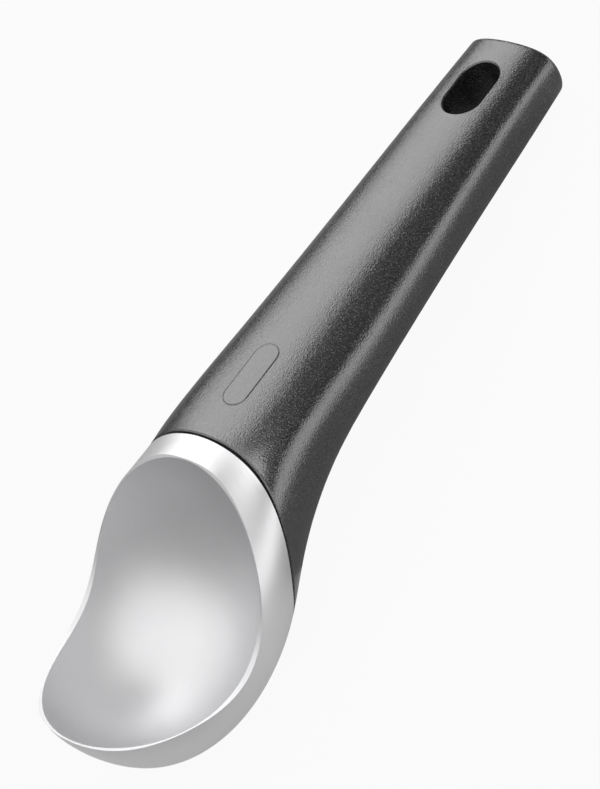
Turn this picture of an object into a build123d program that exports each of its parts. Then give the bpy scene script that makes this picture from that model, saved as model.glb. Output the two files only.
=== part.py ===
from build123d import *
from scipy.interpolate import CubicSpline
import math
import os

# A rigid ice cream scoop: a cast aluminium head, whose bowl and collar run on smoothly from the oval
# handle, and a moulded handle that is pushed over the head's spigot and tang.
# Millimetres and degrees. The scoop is shaped with the straight top ridge of its handle on the X axis:
# X from the rear end of the handle to the tip of the bowl, Y across, Z up. Last of all it is leaned
# back to lie on the bottom of the bowl and the rear end of the handle.

# Layout in side view
handle_length = 123.0
joint_tilt = 29.1
collar_length = 6.5
bowl_reach = 60.5
tip_drop = 23.7
grip_station = 50.0
neck_setback = 28.0
throat_tilt = 10.0

# Oval sections. The crown is the depth of a section's widest line below its top.
rear_width = 25.5
rear_height = 16.8
rear_crown = 7.7
grip_width = 30.1
grip_height = 20.2
grip_crown = 9.4
neck_width = 35.1
neck_height = 24.4
neck_crown = 11.2
throat_width = 40.9
throat_height = 36.8
throat_crown = 17.7
joint_width = 47.7
joint_height = 51.3
joint_crown = 31.0
belly_width = 52.4
belly_height = 68.3
belly_crown = 43.0
mouth_width = 38.4
mouth_crown = 40.1

# Fullness of the ovals above and below the widest line: 0 is an ellipse, more is squarer
handle_upper_fullness = 0.042
handle_lower_fullness = 0.031
joint_upper_fullness = 0.032
joint_lower_fullness = 0.012
belly_upper_fullness = 0.016
belly_lower_fullness = 0.022
mouth_upper_fullness = 0.049
mouth_lower_fullness = 0.039

# Rim of the bowl in side view: pull of the curve away from its rear end and from the tip
rim_rear_pull_ahead = 24.3
rim_rear_pull_down = 24.1
rim_tip_pull_back = 39.4
rim_tip_pull_down = 14.1

# Bowl
tip_land = 0.4
side_land = 1.3
rear_land = 0.3
bowl_floor = 2.4
cavity_lean = 5.0

# Handle
handle_wall = 3.2
core_station = 36.0
rear_edge_radius = 1.2
lip_bevel = 0.25
slot_station = 15.9
slot_length = 16.8
slot_width = 10.2
slot_bevel = 0.3

# Joint
seal_thickness = 0.7
seal_recess = 0.9
back_wall = 3.5
fit_clearance = 0.15

# Tang, its carrier in the handle, and the cross pins
tang_depth = 11.0
tang_length = 64.0
tang_width = 14.0
tang_thickness = 6.0
tang_edge_radius = 1.5
pin_diameter = 4.0
pin_length = 22.0
pin_clearance = 0.05
front_pin_setback = 22.0
pin_spacing = 22.0

# Fineness of the lofts
side_points = 12
loft_sections = 24

rim_x = handle_length + collar_length
tip_x = rim_x + bowl_reach
mouth_fall = tip_drop / bowl_reach
mouth_tilt = 90 - math.degrees(math.atan(mouth_fall))
belly_tilt = (joint_tilt + mouth_tilt) / 2
joint_run = math.tan(math.radians(joint_tilt))

# The planes of the joint and of the bowl's mouth meet in one cross axis above the collar, and the
# sections between the handle and the mouth fan out from it.
pivot_z = mouth_fall * collar_length / (1 - mouth_fall * joint_run)
pivot_x = handle_length - joint_run * pivot_z


def upright(x, width, height, crown):
    """One section of the handle, square to its ridge."""
    return (x, 0.0, 0.0, 0.0, width, height, crown, handle_upper_fullness, handle_lower_fullness)


def fanned(tilt, top, width, height, crown, upper, lower):
    """One section on a plane through the cross axis; top is its distance from that axis."""
    return (pivot_x, pivot_z, tilt, top, width, height, crown, upper, lower)


def ridge_distance(tilt):
    """Distance from the cross axis to the ridge, along a plane of the fan."""
    return pivot_z / math.cos(math.radians(tilt))


named_sections = [
    upright(0.0, rear_width, rear_height, rear_crown),
    upright(grip_station, grip_width, grip_height, grip_crown),
    upright(handle_length - neck_setback, neck_width, neck_height, neck_crown),
    fanned(throat_tilt, ridge_distance(throat_tilt), throat_width, throat_height, throat_crown,
           handle_upper_fullness, handle_lower_fullness),
    fanned(joint_tilt, ridge_distance(joint_tilt), joint_width, joint_height, joint_crown,
           joint_upper_fullness, joint_lower_fullness),
    fanned(belly_tilt, ridge_distance(belly_tilt), belly_width, belly_height, belly_crown,
           belly_upper_fullness, belly_lower_fullness),
    fanned(mouth_tilt, math.hypot(rim_x - pivot_x, pivot_z), mouth_width,
           math.hypot(bowl_reach, tip_drop), mouth_crown,
           mouth_upper_fullness, mouth_lower_fullness),
]


def half_oval(section, inset):
    """Points up the left side of a section, from its foot to its top."""
    x, z, tilt, top, width, height, crown, upper, lower = section
    lean = math.radians(tilt)
    points = []
    for step in range(side_points + 1):
        angle = math.pi * step / side_points - math.pi / 2
        above = math.sin(angle) >= 0
        full = upper if above else lower
        reach = (crown if above else height - crown) - inset
        across = (width / 2 - inset) * (math.cos(angle) - full * math.cos(3 * angle)) / (1 - full)
        rise = reach * (math.sin(angle) + full * math.sin(3 * angle)) / (1 - full)
        down = top + crown - rise
        points.append((x + down * math.sin(lean), across, z - down * math.cos(lean)))
    return points


def section_middle(section):
    x, z, tilt, top, width, height, crown, upper, lower = section
    down = top + height / 2
    return Vector(x + down * math.sin(math.radians(tilt)), 0, z - down * math.cos(math.radians(tilt)))


progress = [0.0]
for rear_side, front_side in zip(named_sections, named_sections[1:]):
    progress.append(progress[-1] + (section_middle(front_side) - section_middle(rear_side)).length)
belly_progress = progress[-2]


def section_rails(inset):
    """Smooth rails through the named sections, one for each point of the half ovals."""
    return CubicSpline(progress, [half_oval(section, inset) for section in named_sections])


def pull_across(beside, next_to_it):
    """Pull at an end of a half oval, from the two points beside it and their mirror images."""
    return (8 * beside.Y - next_to_it.Y) / 6 * side_points


def scoop_body(inset, end):
    """The outer form of handle and bowl, shrunk by an inset, from the rear end to a named section."""
    rails = section_rails(inset)
    spacing = [point / side_points for point in range(side_points + 1)]
    wires = []
    for step in range(loft_sections):
        points = [Vector(*point) for point in rails(end * step / (loft_sections - 1))]
        foot_pull = Vector(0, pull_across(points[1], points[2]), 0)
        top_pull = Vector(0, -pull_across(points[-2], points[-3]), 0)
        flank = Edge.make_spline(points, tangents=[foot_pull, top_pull], parameters=spacing, scale=False)
        wires.append(Wire([flank, Edge.make_line(points[-1], points[0])]))
    left_half = Solid.make_loft(wires)
    return left_half + mirror(left_half, about=Plane.XZ)


joint_plane = Plane(
    (handle_length, 0, 0),
    x_dir=(0, 1, 0),
    z_dir=(math.cos(math.radians(joint_tilt)), 0, math.sin(math.radians(joint_tilt))),
)


def behind(solid, distance):
    """The part of a solid behind the joint plane, which is moved forward by a distance."""
    return split(solid, bisect_by=joint_plane.offset(distance), keep=Keep.BOTTOM)


def ahead_of(solid, distance):
    """The part of a solid ahead of the joint plane, which is moved forward by a distance."""
    return split(solid, bisect_by=joint_plane.offset(distance), keep=Keep.TOP)


outer = scoop_body(0.0, progress[-1])
half_seal = seal_thickness / 2

# Inside of the bowl: an ellipsoid that leaves the rim its land at the rear, the tip and the sides
rim_start = Vector(rim_x, 0, 0)
rim_end = Vector(tip_x, 0, -tip_drop)
rim_curve = Bezier(
    rim_start,
    rim_start + Vector(rim_rear_pull_ahead, 0, -rim_rear_pull_down),
    rim_end + Vector(-rim_tip_pull_back, 0, -rim_tip_pull_down),
    rim_end,
)
mouth_rear = Vector(rim_x + rear_land, 0, 0)
mouth_tip = Vector(tip_x - tip_land, 0, -tip_drop)
mouth_middle = (mouth_rear + mouth_tip) / 2
along = (mouth_tip - mouth_rear) / 2
forward = along.normalized()
downward = Vector(forward.Z, 0, -forward.X)


def outer_distance(start, direction):
    """Distance from a point inside the outer form to its surface."""
    hits = outer.find_intersection_points(Axis(start, direction))
    return max((point - start).dot(direction) for point, normal in hits)


floor_foot = mouth_middle + forward * cavity_lean
cavity_depth = outer_distance(floor_foot, downward) - bowl_floor
depth_arm = forward * cavity_lean + downward * cavity_depth
side = rim_curve @ 0.5
offset = side - mouth_middle
cross = along.X * depth_arm.Z - along.Z * depth_arm.X
share_along = (offset.X * depth_arm.Z - offset.Z * depth_arm.X) / cross
share_down = (along.X * offset.Z - along.Z * offset.X) / cross
side_width = outer_distance(side, Vector(0, 1, 0)) - side_land
cavity_half_width = side_width / math.sqrt(1 - share_along**2 - share_down**2)

# The two arms are conjugate half diameters of the side view ellipse; its axes follow from them.
spread_x = along.X**2 + depth_arm.X**2
spread_z = along.Z**2 + depth_arm.Z**2
spread_xz = along.X * along.Z + depth_arm.X * depth_arm.Z
mean_spread = (spread_x + spread_z) / 2
spread_range = math.hypot((spread_x - spread_z) / 2, spread_xz)
long_axis = math.sqrt(mean_spread + spread_range)
short_axis = math.sqrt(mean_spread - spread_range)
axis_angle = math.degrees(math.atan2(2 * spread_xz, spread_x - spread_z)) / 2
ball = Rot(90, 0, 0) * Sphere(1)
cavity = scale(ball, by=(long_axis, cavity_half_width, short_axis))
cavity = Pos(*mouth_middle) * Rot(0, -axis_angle, 0) * cavity

# What the rim's curve takes off the outer form
margin = Vector(0, 0, belly_width)
above_rim = make_face([
    rim_curve,
    Line(rim_end, rim_end + Vector(belly_width, 0, 0)),
    Line(rim_end + Vector(belly_width, 0, 0), rim_start + Vector(tip_x, 0, belly_width)),
    Line(rim_start + Vector(tip_x, 0, belly_width), rim_start + margin),
    Line(rim_start + margin, rim_start),
])
rim_cut = extrude(above_rim, amount=belly_width, dir=(0, 1, 0), both=True)

# Spigot that the handle is pushed over. The back of the bowl reaches into it.
square_on = joint_plane.z_dir
bowl_back = math.hypot(along.dot(square_on), depth_arm.dot(square_on))
spigot_length = bowl_back - (mouth_middle - joint_plane.origin).dot(square_on) + back_wall
inner_form = scoop_body(handle_wall + fit_clearance, belly_progress)
spigot = ahead_of(behind(inner_form, half_seal), -spigot_length)

# Tang behind the spigot, crossed by the pins
tang_front = handle_length + joint_run * tang_depth
tang_middle = Pos(tang_front - tang_length / 2, 0, -tang_depth)
tang_bar = Box(tang_length, tang_width, tang_thickness)
tang_bar = fillet(tang_bar.edges().filter_by(Axis.Z).group_by(Axis.X)[0], tang_edge_radius)
pin_places = []
for setback in (front_pin_setback, front_pin_setback + pin_spacing):
    pin_places.append(Pos(tang_front - setback, 0, -tang_depth))


def cross_rods(diameter, length):
    """Round rods across the scoop at the places of the pins."""
    rods = []
    for place in pin_places:
        rods.append(place * Rot(90, 0, 0) * Cylinder(diameter / 2, length))
    return rods


pin_holes = cross_rods(pin_diameter + 2 * pin_clearance, 2 * neck_width)
head = ahead_of(outer, half_seal) - rim_cut + spigot + tang_middle * tang_bar - cavity - pin_holes

# Seal between the collar and the handle, set back from their faces
seal_form = scoop_body(seal_recess, belly_progress)
seal_hole = scoop_body(handle_wall, belly_progress)
seal = behind(ahead_of(seal_form, -half_seal), half_seal) - seal_hole

# Handle: solid round the hanging slot, hollow from there to the joint
slot_prism = extrude(SlotOverall(slot_length, slot_width), rear_height * 2, both=True)
handle = behind(outer, -half_seal) - Pos(slot_station, 0, 0) * slot_prism
handle = fillet(handle.edges().group_by(Axis.X)[0], rear_edge_radius)
handle = chamfer(handle.faces().filter_by(joint_plane)[0].outer_wire().edges(), lip_bevel)
slot_rims = handle.edges().filter_by(lambda edge: abs(edge.center().X - slot_station) < slot_length / 2)
handle = chamfer(slot_rims.filter_by(GeomType.LINE, reverse=True), slot_bevel)
core_space = split(seal_hole, bisect_by=Plane.YZ.offset(core_station), keep=Keep.TOP)
handle = handle - core_space

# Carrier that fills the handle and holds the tang
carrier = split(inner_form, bisect_by=Plane.YZ.offset(core_station + fit_clearance), keep=Keep.TOP)
carrier = behind(carrier, -spigot_length - fit_clearance)
tang_space = Box(
    tang_length + 2 * fit_clearance,
    tang_width + 2 * fit_clearance,
    tang_thickness + 2 * fit_clearance,
)
carrier = carrier - tang_middle * tang_space - pin_holes
pins = cross_rods(pin_diameter, pin_length)

# Lean the scoop back onto its bowl and the rear end of its handle
rails = section_rails(0.0)
foot_steps = 400
rear_foot = rails(0.0)[0]
table_angle = 0.0
for step in range(1, foot_steps):
    foot = rails(progress[-1] * step / foot_steps)[0]
    table_angle = max(table_angle, math.atan2(rear_foot[2] - foot[2], foot[0] - rear_foot[0]))
lean_back = Rot(0, -math.degrees(table_angle), 0)
box = (lean_back * Compound([handle, head])).bounding_box()
rest = Pos(-(box.min.X + box.max.X) / 2, 0, -box.min.Z) * lean_back

nodes = {
    "scoop_head": [head],
    "joint_seal": [seal],
    "handle_shell": [handle],
    "tang_carrier": [carrier],
    "tang_pins": pins,
}
os.makedirs("parts", exist_ok=True)
for name, solids in nodes.items():
    export_step(rest * Compound(solids), f"parts/{name}.step")
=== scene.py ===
import math

import bmesh
import bpy
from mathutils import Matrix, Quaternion, Vector
from mathutils.bvhtree import BVHTree


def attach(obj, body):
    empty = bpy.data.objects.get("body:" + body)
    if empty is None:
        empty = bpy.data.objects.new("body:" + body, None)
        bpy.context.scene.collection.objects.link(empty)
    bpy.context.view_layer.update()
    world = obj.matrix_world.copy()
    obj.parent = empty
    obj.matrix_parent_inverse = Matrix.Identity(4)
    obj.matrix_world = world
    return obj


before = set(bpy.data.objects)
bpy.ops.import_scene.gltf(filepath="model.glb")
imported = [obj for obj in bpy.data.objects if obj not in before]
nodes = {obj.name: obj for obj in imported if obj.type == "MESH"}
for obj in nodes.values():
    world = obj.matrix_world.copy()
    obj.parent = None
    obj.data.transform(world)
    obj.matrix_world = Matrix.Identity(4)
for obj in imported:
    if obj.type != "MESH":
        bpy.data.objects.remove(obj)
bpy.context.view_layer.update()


# Scoop head: one aluminium casting, bowl, collar, spigot and tang in one. It is tumbled to an even
# satin skin with a very fine tooth, and the rim of the bowl is dressed smooth.
def new_material(name):
    """An empty node material with its shader and output joined."""
    material = bpy.data.materials.new(name)
    material.use_nodes = True
    tree = material.node_tree
    tree.nodes.clear()
    shader = tree.nodes.new("ShaderNodeBsdfPrincipled")
    output = tree.nodes.new("ShaderNodeOutputMaterial")
    tree.links.new(shader.outputs["BSDF"], output.inputs["Surface"])
    return material, tree, shader


def dress(node_name, material):
    """Puts a material on every slot of a carried-over node."""
    for material_slot in nodes[node_name].material_slots:
        material_slot.link = "OBJECT"
        material_slot.material = material


def make_tooth_group():
    """Fine surface tooth: a sharp grain and a soft cloud, as masks from 0 to 1."""
    group = bpy.data.node_groups.new("surface_tooth", "ShaderNodeTree")
    group.interface.new_socket("Grain Scale", in_out="INPUT", socket_type="NodeSocketFloat")
    group.interface.new_socket("Cloud Scale", in_out="INPUT", socket_type="NodeSocketFloat")
    group.interface.new_socket("Grain", in_out="OUTPUT", socket_type="NodeSocketFloat")
    group.interface.new_socket("Cloud", in_out="OUTPUT", socket_type="NodeSocketFloat")
    inside = group.nodes.new("NodeGroupInput")
    outside = group.nodes.new("NodeGroupOutput")
    place = group.nodes.new("ShaderNodeTexCoord")
    grain = group.nodes.new("ShaderNodeTexNoise")
    grain.inputs["Detail"].default_value = 1.0
    grain.inputs["Roughness"].default_value = 0.6
    cloud = group.nodes.new("ShaderNodeTexNoise")
    cloud.inputs["Detail"].default_value = 2.0
    for texture, name in ((grain, "Grain"), (cloud, "Cloud")):
        group.links.new(place.outputs["Object"], texture.inputs["Vector"])
        group.links.new(inside.outputs[f"{name} Scale"], texture.inputs["Scale"])
        group.links.new(texture.outputs["Fac"], outside.inputs[name])
    return group


def add_tooth(tree, grain_cells, cloud_cells):
    """Places the tooth group in a material, with its cells per metre; gives grain and cloud."""
    tooth = tree.nodes.new("ShaderNodeGroup")
    tooth.node_tree = surface_tooth
    tooth.inputs["Grain Scale"].default_value = grain_cells
    tooth.inputs["Cloud Scale"].default_value = cloud_cells
    return tooth.outputs["Grain"], tooth.outputs["Cloud"]


def add_spread(tree, mask, low, high, mask_low=0.3, mask_high=0.7):
    """A value between low and high that follows a mask, over the range where noise mostly lies."""
    spread = tree.nodes.new("ShaderNodeMapRange")
    spread.inputs["From Min"].default_value = mask_low
    spread.inputs["From Max"].default_value = mask_high
    spread.inputs["To Min"].default_value = low
    spread.inputs["To Max"].default_value = high
    tree.links.new(mask, spread.inputs["Value"])
    return spread.outputs["Result"]


def add_tint(tree, mask, low, high):
    """A colour between two that follows a mask."""
    tint = tree.nodes.new("ShaderNodeMix")
    tint.data_type = "RGBA"
    tint.inputs["A"].default_value = (*low, 1.0)
    tint.inputs["B"].default_value = (*high, 1.0)
    tree.links.new(mask, tint.inputs["Factor"])
    return tint.outputs["Result"]


def add_relief(tree, mask, strength, height):
    """A bump normal from a mask; the height is in metres."""
    relief = tree.nodes.new("ShaderNodeBump")
    relief.inputs["Strength"].default_value = strength
    relief.inputs["Distance"].default_value = height
    tree.links.new(mask, relief.inputs["Height"])
    return relief.outputs["Normal"]


surface_tooth = make_tooth_group()

cast_grey = (0.66, 0.66, 0.67)
cast_pale = (0.72, 0.72, 0.725)
cast_relief = 0.00004
cast_relief_strength = 0.10

satin_aluminium, tree, shader = new_material("satin_aluminium")
grain, cloud = add_tooth(tree, grain_cells=3200.0, cloud_cells=60.0)
shader.inputs["Metallic"].default_value = 1.0
tree.links.new(add_tint(tree, cloud, cast_grey, cast_pale), shader.inputs["Base Color"])
tree.links.new(add_spread(tree, grain, low=0.46, high=0.52), shader.inputs["Roughness"])
relief = add_relief(tree, grain, cast_relief_strength, cast_relief)
tree.links.new(relief, shader.inputs["Normal"])
dress("scoop_head", satin_aluminium)


# Joint seal: a thin black elastomer ring, squeezed between the collar and the handle and set back
# from their faces, so that only a dark line shows.
rubber_black = (0.006, 0.006, 0.006)
rubber_worn = (0.012, 0.012, 0.012)

seal_rubber, tree, shader = new_material("seal_rubber")
grain, cloud = add_tooth(tree, grain_cells=1500.0, cloud_cells=120.0)
tree.links.new(add_tint(tree, cloud, rubber_black, rubber_worn), shader.inputs["Base Color"])
tree.links.new(add_spread(tree, grain, low=0.65, high=0.8), shader.inputs["Roughness"])
dress("joint_seal", seal_rubber)


# Handle: a black moulding, hollow from the joint, with an even spark-eroded grain on its skin.
# Behind the joint its ridge has a fine groove with round ends, cut round a plain plate.
def add_math(tree, operation, first, second=0.0):
    """A math node on two sockets or numbers."""
    step = tree.nodes.new("ShaderNodeMath")
    step.operation = operation
    for slot, value in zip(step.inputs, (first, second)):
        if isinstance(value, float):
            slot.default_value = value
        else:
            tree.links.new(value, slot)
    return step.outputs["Value"]


def add_distance(tree, offset, axis):
    """Distance of an offset vector along an axis."""
    product = tree.nodes.new("ShaderNodeVectorMath")
    product.operation = "DOT_PRODUCT"
    product.inputs[1].default_value = axis
    tree.links.new(offset, product.inputs[0])
    return product.outputs["Value"]


def add_fade(tree, value, start, end):
    """A mask that falls from 1 to 0 between two values."""
    fade = tree.nodes.new("ShaderNodeMapRange")
    fade.interpolation_type = "SMOOTHSTEP"
    fade.inputs["From Min"].default_value = start
    fade.inputs["From Max"].default_value = end
    fade.inputs["To Min"].default_value = 1.0
    fade.inputs["To Max"].default_value = 0.0
    tree.links.new(value, fade.inputs["Value"])
    return fade.outputs["Result"]


def make_plastic(name):
    """Black plastic with a soft gloss and paler grain tips, which are painted glints; its relief is
    left to the piece.
    """
    material, tree, shader = new_material(name)
    grain, cloud = add_tooth(tree, grain_cells=2700.0, cloud_cells=90.0)
    # The tips of the grain are painted paler: a painted glint speckle that stands for light caught
    # on the grain.
    glint_tips = add_spread(tree, grain, low=0.0, high=1.0)
    glint_tips = add_math(tree, "MULTIPLY", glint_tips, glint_tips)
    shader.inputs["IOR"].default_value = 2.0
    tree.links.new(add_tint(tree, glint_tips, plastic_black, plastic_glint), shader.inputs["Base Color"])
    tree.links.new(add_spread(tree, cloud, low=0.19, high=0.23), shader.inputs["Roughness"])
    return material, tree, shader, grain


plastic_black = (0.0, 0.0, 0.0)
# Painted glint colour for the grain tips.
plastic_glint = (0.051, 0.051, 0.0535)
handle_relief = 0.00008

plate_centre = Vector((0.0073, 0.0, 0.0363))
plate_along = Vector((0.98210, 0.0, 0.18834))
plate_across = Vector((0.0, 1.0, 0.0))
plate_square = Vector((-0.18834, 0.0, 0.98210))
plate_width = 0.0064
plate_straight = 0.0056
plate_reach = 0.004
groove_half = 0.0002

grained_plastic, tree, shader, grain = make_plastic("grained_plastic")
place = tree.nodes.new("ShaderNodeTexCoord")
from_centre = tree.nodes.new("ShaderNodeVectorMath")
from_centre.operation = "SUBTRACT"
from_centre.inputs[1].default_value = plate_centre
tree.links.new(place.outputs["Object"], from_centre.inputs[0])
offset = from_centre.outputs["Vector"]

# Distance from the plate's outline, which is a straight length with round ends.
along = add_math(tree, "ABSOLUTE", add_distance(tree, offset, plate_along))
beyond = add_math(tree, "MAXIMUM", add_math(tree, "SUBTRACT", along, plate_straight))
across = add_distance(tree, offset, plate_across)
beyond_squared = add_math(tree, "MULTIPLY", beyond, beyond)
across_squared = add_math(tree, "MULTIPLY", across, across)
from_spine = add_math(tree, "SQRT", add_math(tree, "ADD", beyond_squared, across_squared))
from_edge = add_math(tree, "ABSOLUTE", add_math(tree, "SUBTRACT", from_spine, plate_width / 2))

# The groove is cut from above only, not on the underside of the handle.
above = add_math(tree, "GREATER_THAN", add_distance(tree, offset, plate_square), -plate_reach)
groove = add_math(tree, "MULTIPLY", add_fade(tree, from_edge, 0.0, groove_half), above)
grooved_grain = add_math(tree, "SUBTRACT", grain, groove)
tree.links.new(add_relief(tree, grooved_grain, 1.0, handle_relief), shader.inputs["Normal"])
dress("handle_shell", grained_plastic)


# Plain plate: the bare panel inside that groove, of the handle's own plastic with a calmer grain.
# It follows the ridge, stands a hair proud of it and is chamfered all round, its foot in the skin.
plate_proud = 0.00008
plate_foot = 0.0001
plate_chamfer = 0.00015
plate_relief = 0.00005
cells_along = 28
cells_across = 14
sharp_angle = 0.3
mesh_order = Vector((1.0, 0.37, 0.11))

bm = bmesh.new()
bmesh.ops.create_grid(bm, x_segments=cells_along, y_segments=cells_across, size=1.0)
half_top = plate_width / 2 - plate_chamfer
for vert in bm.verts:
    swing = vert.co.y * math.pi / 2
    half_length = plate_straight + half_top * math.cos(swing)
    vert.co = (vert.co.x * half_length, half_top * math.sin(swing), plate_proud)
border = [edge for edge in bm.edges if edge.is_boundary]
skirt = bmesh.ops.extrude_edge_only(bm, edges=border)["geom"]
for vert in [part for part in skirt if isinstance(part, bmesh.types.BMVert)]:
    spine_x = max(-plate_straight, min(plate_straight, vert.co.x))
    spine = Vector((spine_x, 0.0, plate_proud))
    vert.co = spine + (vert.co - spine).normalized() * plate_width / 2
    vert.co.z = -plate_foot
bmesh.ops.edgeloop_fill(bm, edges=[edge for edge in bm.edges if edge.is_boundary])
bmesh.ops.recalc_face_normals(bm, faces=bm.faces)
skin = BVHTree.FromObject(nodes["handle_shell"], bpy.context.evaluated_depsgraph_get())
for vert in bm.verts:
    flat = plate_centre + plate_along * vert.co.x + plate_across * vert.co.y
    on_skin = skin.ray_cast(flat + plate_square * plate_reach, -plate_square)[0]
    vert.co = on_skin + plate_square * vert.co.z
bm.verts.sort(key=lambda vert: vert.co.dot(mesh_order))
bm.faces.sort(key=lambda face: face.calc_center_median().dot(mesh_order))
for face in bm.faces:
    face.smooth = True
for edge in bm.edges:
    edge.smooth = edge.calc_face_angle(0.0) < sharp_angle
plate_mesh = bpy.data.meshes.new("plain_plate")
bm.to_mesh(plate_mesh)
bm.free()
plain_plate = bpy.data.objects.new("plain_plate", plate_mesh)
bpy.context.scene.collection.objects.link(plain_plate)

plate_plastic, tree, shader, grain = make_plastic("plate_plastic")
tree.links.new(add_relief(tree, grain, 1.0, plate_relief), shader.inputs["Normal"])
plate_mesh.materials.append(plate_plastic)
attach(plain_plate, "root")


# Carrier: the moulded insert that fills the handle and grips the tang. It is plain dark grey, as it
# is closed in by the handle.
insert_dark = (0.08, 0.08, 0.084)
insert_pale = (0.12, 0.12, 0.126)

carrier_plastic, tree, shader = new_material("carrier_plastic")
grain, cloud = add_tooth(tree, grain_cells=700.0, cloud_cells=80.0)
tree.links.new(add_tint(tree, cloud, insert_dark, insert_pale), shader.inputs["Base Color"])
tree.links.new(add_spread(tree, grain, low=0.5, high=0.62), shader.inputs["Roughness"])
dress("tang_carrier", carrier_plastic)


# Pins: two drawn steel pins, cut to length, that pass through the tang and its carrier and lock
# them together. They are closed in by the handle.
steel_grey = (0.55, 0.55, 0.56)
steel_pale = (0.65, 0.65, 0.66)

pin_steel, tree, shader = new_material("pin_steel")
grain, cloud = add_tooth(tree, grain_cells=2400.0, cloud_cells=150.0)
shader.inputs["Metallic"].default_value = 1.0
tree.links.new(add_tint(tree, cloud, steel_grey, steel_pale), shader.inputs["Base Color"])
tree.links.new(add_spread(tree, grain, low=0.25, high=0.35), shader.inputs["Roughness"])
dress("tang_pins", pin_steel)


# Studio: a plain white floor that fills the picture and keeps a soft shadow, soft boxes round the
# scoop, and the camera at the photograph's place.
floor_half = 3.0
floor_grey = (0.32, 0.32, 0.32, 1.0)
sky_white = (1.0, 1.0, 1.0, 1.0)

bm = bmesh.new()
bmesh.ops.create_grid(bm, x_segments=1, y_segments=1, size=floor_half)
floor_mesh = bpy.data.meshes.new("floor")
bm.to_mesh(floor_mesh)
bm.free()
floor = bpy.data.objects.new("floor", floor_mesh)
bpy.context.scene.collection.objects.link(floor)


def add_seen_share(tree, start, camera_share, mirror_share):
    """A value that grows for what the camera sees, and a little for what gloss and glass show."""
    seen = tree.nodes.new("ShaderNodeLightPath")
    through = seen.outputs["Is Transmission Ray"]
    in_mirror = add_math(tree, "ADD", seen.outputs["Is Glossy Ray"], through)
    in_camera = add_math(tree, "MULTIPLY", seen.outputs["Is Camera Ray"], camera_share)
    mirrored = add_math(tree, "MULTIPLY", in_mirror, mirror_share)
    return add_math(tree, "ADD", add_math(tree, "ADD", in_camera, start), mirrored)


floor_white, tree, shader = new_material("floor_white")
shader.inputs["Base Color"].default_value = floor_grey
shader.inputs["Roughness"].default_value = 0.9
shader.inputs["Specular IOR Level"].default_value = 0.0
glow = tree.nodes.new("ShaderNodeEmission")
blend = tree.nodes.new("ShaderNodeMixShader")
seen_floor = add_seen_share(tree, start=0.0, camera_share=0.94, mirror_share=0.08)
tree.links.new(seen_floor, blend.inputs["Fac"])
tree.links.new(shader.outputs["BSDF"], blend.inputs[1])
tree.links.new(glow.outputs["Emission"], blend.inputs[2])
tree.links.new(blend.outputs["Shader"], tree.nodes["Material Output"].inputs["Surface"])
floor.data.materials.append(floor_white)

world = bpy.data.worlds.new("studio")
bpy.context.scene.world = world
world.use_nodes = True
tree = world.node_tree
sky = tree.nodes["Background"]
sky.inputs["Color"].default_value = sky_white
seen_sky = add_seen_share(tree, start=0.15, camera_share=0.81, mirror_share=0.02)
tree.links.new(seen_sky, sky.inputs["Strength"])


def soft_box(name, place, aim, width, height, watts, roll=0.0):
    """A rectangular soft box that faces a point, rolled by an angle in degrees."""
    lamp = bpy.data.lights.new(name, "AREA")
    lamp.shape = "RECTANGLE"
    lamp.size = width
    lamp.size_y = height
    lamp.energy = watts
    soft = bpy.data.objects.new(name, lamp)
    soft.location = place
    facing = (Vector(place) - Vector(aim)).to_track_quat("Z", "Y")
    turn = Quaternion((0.0, 0.0, 1.0), math.radians(roll))
    soft.rotation_euler = (facing @ turn).to_euler()
    bpy.context.scene.collection.objects.link(soft)


soft_box("overhead_soft_box", place=(0.44, 0.0, 1.1), aim=(0.42, 0.0, 0.02),
         width=4.4, height=1.86, watts=30.8)
soft_box("rear_strip", place=(-0.2025, -0.1625, 0.1725), aim=(-0.1765, -0.0151, 0.0399),
         width=0.35, height=0.20, watts=0.54, roll=14.9)
soft_box("low_side_strip", place=(-0.07, 0.0815, 0.0125), aim=(-0.0538, 0.0118, 0.0822),
         width=0.264, height=0.075, watts=0.108, roll=-13.5)
soft_box("joint_soft_box", place=(0.031, 0.029, 0.065), aim=(0.085, 0.0, 0.01),
         width=0.035, height=0.03, watts=0.0038)
soft_box("bowl_floor_panel", place=(0.095, 0.0, 0.0015), aim=(0.095, 0.0, 0.1),
         width=0.12, height=0.12, watts=0.0142)

camera_turn = (32.8442, 28.8063, 122.9619)
lens = bpy.data.cameras.new("camera")
lens.lens = 127.758
lens.sensor_width = 36.0
camera = bpy.data.objects.new("camera", lens)
camera.location = (0.149116, 0.395960, 0.477941)
camera.rotation_euler = tuple(math.radians(turn) for turn in camera_turn)
bpy.context.scene.collection.objects.link(camera)
bpy.context.scene.camera = camera
bpy.context.scene.view_settings.view_transform = "Standard"
